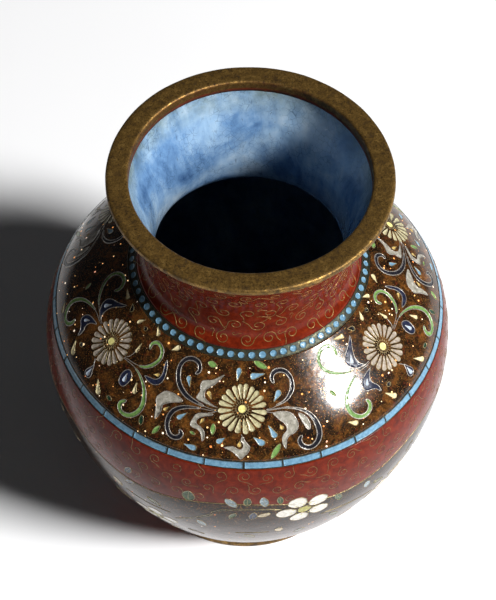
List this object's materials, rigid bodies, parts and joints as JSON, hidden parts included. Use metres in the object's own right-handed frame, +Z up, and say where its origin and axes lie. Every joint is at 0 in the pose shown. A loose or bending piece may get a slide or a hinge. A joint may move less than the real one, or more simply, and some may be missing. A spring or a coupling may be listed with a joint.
{
  "type": "cloisonne vase",
  "caption": "Small squat cloisonne enamel vase with a waisted neck, wide round shoulder, flat brass mouth rim and brass foot ring.",
  "frame": {"origin": "middle of the foot ring's underside, on the surface the vase stands on", "axes": "+Z up along the vase's axis; the front chrysanthemum faces -Y"},
  "size_m": [0.0813, 0.0813, 0.0998],
  "materials": {
    "base_enamel": "glossy blue counter-enamel",
    "bead_ring_wires": "tarnished wire cells",
    "belly_enamel": "glossy brick-red enamel",
    "belly_scroll_wires": "fine brass wire, ground flush",
    "black_drops": "black enamel",
    "blossom_buds": "beige enamel",
    "blossom_centres": "yellow-green enamel",
    "blossom_petals": "white enamel",
    "blossom_stems": "dark stem enamel",
    "chrysanthemum_centres": "pale yellow enamel",
    "chrysanthemum_petals_cream": "cream enamel",
    "chrysanthemum_petals_lilac": "lilac-grey enamel",
    "copper_bowl": "bare raised copper, hidden under enamel",
    "copper_neck": "bare raised copper, hidden under enamel",
    "cream_drops": "cream enamel",
    "dark_scrolls": "black enamel",
    "deep_green_leaves": "deep green enamel",
    "foot_enamel": "glossy brick-red enamel",
    "foot_ring": "aged brass",
    "frieze_enamel": "very dark aventurine enamel",
    "frieze_leaves_green": "dark green enamel",
    "frieze_leaves_grey": "grey-blue enamel",
    "frieze_leaves_navy": "navy enamel",
    "gold_drops": "ochre enamel",
    "green_leaves": "green enamel",
    "green_scrolls": "leaf-green enamel",
    "inner_enamel": "mottled sky-blue enamel, glossy",
    "lower_line_bars": "turquoise enamel bars",
    "lower_line_wires": "tarnished wire",
    "mouth_rim": "aged brass, dark pitted patina",
    "navy_leaves": "navy enamel",
    "neck_beads": "turquoise enamel dots",
    "neck_enamel": "glossy brick-red enamel",
    "neck_scroll_wires": "fine brass wire, ground flush",
    "pale_leaf_cores": "pale blue enamel",
    "scroll_wires": "silvery wire outline",
    "shoulder_enamel": "brown aventurine (goldstone) enamel with copper glitter",
    "shoulder_line_bars": "turquoise enamel bars",
    "shoulder_line_wires": "tarnished wire",
    "turquoise_drops": "turquoise enamel",
    "white_leaves": "grey-white enamel"
  },
  "bodies": {
    "root": {"base_enamel": "base_enamel", "bead_ring_wires": "bead_ring_wires", "belly_enamel": "belly_enamel", "belly_scroll_wires": "belly_scroll_wires", "black_drops": "black_drops", "blossom_buds": "blossom_buds", "blossom_centres": "blossom_centres", "blossom_petals": "blossom_petals", "blossom_stems": "blossom_stems", "chrysanthemum_centres": "chrysanthemum_centres", "chrysanthemum_petals_cream": "chrysanthemum_petals_cream", "chrysanthemum_petals_lilac": "chrysanthemum_petals_lilac", "copper_bowl": "copper_bowl", "copper_neck": "copper_neck", "cream_drops": "cream_drops", "dark_scrolls": "dark_scrolls", "deep_green_leaves": "deep_green_leaves", "foot_enamel": "foot_enamel", "foot_ring": "foot_ring", "frieze_enamel": "frieze_enamel", "frieze_leaves_green": "frieze_leaves_green", "frieze_leaves_grey": "frieze_leaves_grey", "frieze_leaves_navy": "frieze_leaves_navy", "gold_drops": "gold_drops", "green_leaves": "green_leaves", "green_scrolls": "green_scrolls", "inner_enamel": "inner_enamel", "lower_line_bars": "lower_line_bars", "lower_line_wires": "lower_line_wires", "mouth_rim": "mouth_rim", "navy_leaves": "navy_leaves", "neck_beads": "neck_beads", "neck_enamel": "neck_enamel", "neck_scroll_wires": "neck_scroll_wires", "pale_leaf_cores": "pale_leaf_cores", "scroll_wires": "scroll_wires", "shoulder_enamel": "shoulder_enamel", "shoulder_line_bars": "shoulder_line_bars", "shoulder_line_wires": "shoulder_line_wires", "turquoise_drops": "turquoise_drops", "white_leaves": "white_leaves"}
  },
  "joints": []
}
